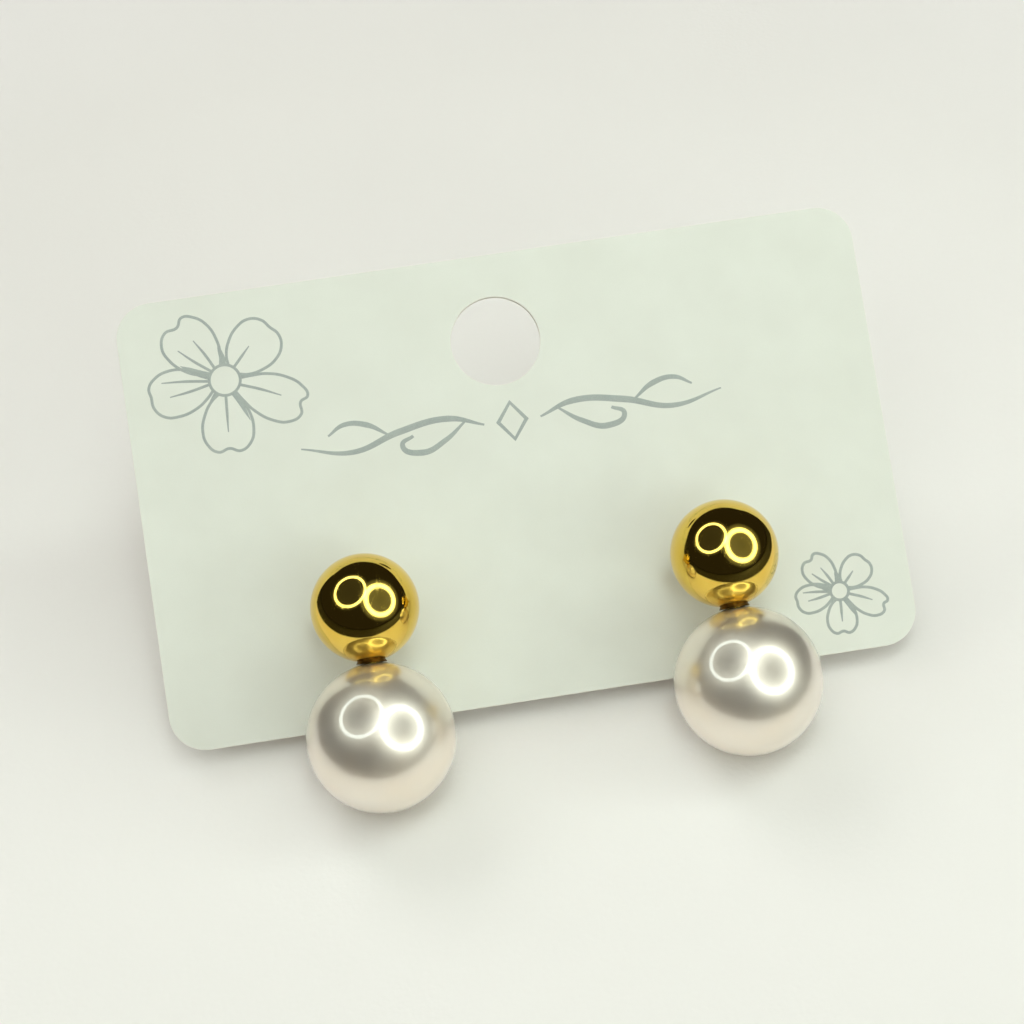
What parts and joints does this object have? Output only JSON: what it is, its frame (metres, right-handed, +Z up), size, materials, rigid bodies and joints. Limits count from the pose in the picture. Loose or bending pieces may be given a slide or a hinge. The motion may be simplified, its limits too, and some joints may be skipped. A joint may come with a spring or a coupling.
{
  "type": "pair of pearl drop earrings on a display card",
  "caption": "Stud drop earrings, a polished gold ball over a larger white pearl, held by ear nuts on a flat rounded card with a round hang hole.",
  "frame": {"origin": "under the middle of the object's box, on the surface that it rests on", "axes": "+X to the right along the card's width, seen from the front; the card faces -Y and leans back; +Z up"},
  "size_m": [0.05, 0.0318, 0.0214],
  "materials": {
    "card_stock": "off-white coated card with fine grain and a thin grey print",
    "polished_gold": "mirror-polished yellow gold plate",
    "pearl": "creamy white nacre with a soft gloss",
    "nut_metal": "stamped gold-plated strip, semi-bright"
  },
  "bodies": {
    "root": {"display_card": "card_stock", "ball_stud_left": "polished_gold", "ball_stud_right": "polished_gold", "pearl_left": "pearl", "pearl_right": "pearl", "clutch_left": "nut_metal", "clutch_right": "nut_metal"}
  },
  "joints": []
}
